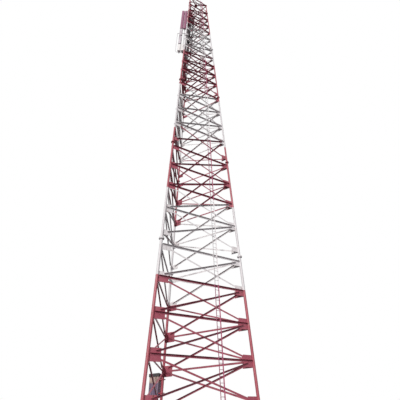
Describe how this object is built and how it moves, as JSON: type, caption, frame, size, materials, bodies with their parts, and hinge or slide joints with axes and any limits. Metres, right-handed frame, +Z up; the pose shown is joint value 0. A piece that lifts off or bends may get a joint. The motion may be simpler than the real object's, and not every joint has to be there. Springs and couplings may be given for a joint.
{
  "type": "radio mast",
  "caption": "Self-supporting three-leg lattice radio mast with tubular flanged legs, crossed angle bracing, gusset plates, ladder and side antennas.",
  "frame": {"origin": "centre of the front left base plate, on its flat underside", "axes": "+Z up; the ladder side faces -Y; +X from the front left leg to the front right leg"},
  "size_m": [5.9908, 5.6681, 38.4524],
  "materials": {
    "leg_paint": "weathered gloss paint in red and white bands",
    "lattice_paint": "weathered gloss paint in red and white bands",
    "ladder_paint": "weathered gloss paint in red and white bands",
    "galvanised": "dull galvanising",
    "radome": "satin",
    "radio_paint": "matt powder coat",
    "cable": "satin jacket",
    "cabinet_paint": "streaked satin paint",
    "lid_paint": "matt paint",
    "rod_metal": "satin",
    "lamp": "gloss"
  },
  "bodies": {
    "root": {"legs_s1": "leg_paint", "legs_s2": "leg_paint", "legs_s3": "leg_paint", "legs_s4": "leg_paint", "legs_s5": "leg_paint", "legs_s6": "leg_paint", "base_plates": "galvanised", "front_s1": "lattice_paint", "front_s2": "lattice_paint", "front_s3": "lattice_paint", "front_s4": "lattice_paint", "front_s5": "lattice_paint", "front_s6": "lattice_paint", "right_s1": "lattice_paint", "right_s2": "lattice_paint", "right_s3": "lattice_paint", "right_s4": "lattice_paint", "right_s5": "lattice_paint", "right_s6": "lattice_paint", "left_s1": "lattice_paint", "left_s2": "lattice_paint", "left_s3": "lattice_paint", "left_s4": "lattice_paint", "left_s5": "lattice_paint", "left_s6": "lattice_paint", "ladder_s1": "ladder_paint", "ladder_s2": "ladder_paint", "ladder_s3": "ladder_paint", "ladder_s4": "ladder_paint", "ladder_s5": "ladder_paint", "ladder_s6": "ladder_paint", "antenna_poles": "galvanised", "antenna_arms": "galvanised", "antennas_outer": "radome", "antennas_inner": "radome", "radio_units": "radio_paint", "cable_coil": "cable", "cabinet_body": "cabinet_paint", "cabinet_lid": "lid_paint", "cabinet_bracket": "galvanised", "top_frame": "lattice_paint", "lightning_rod": "rod_metal", "obstruction_light": "lamp"}
  },
  "joints": []
}
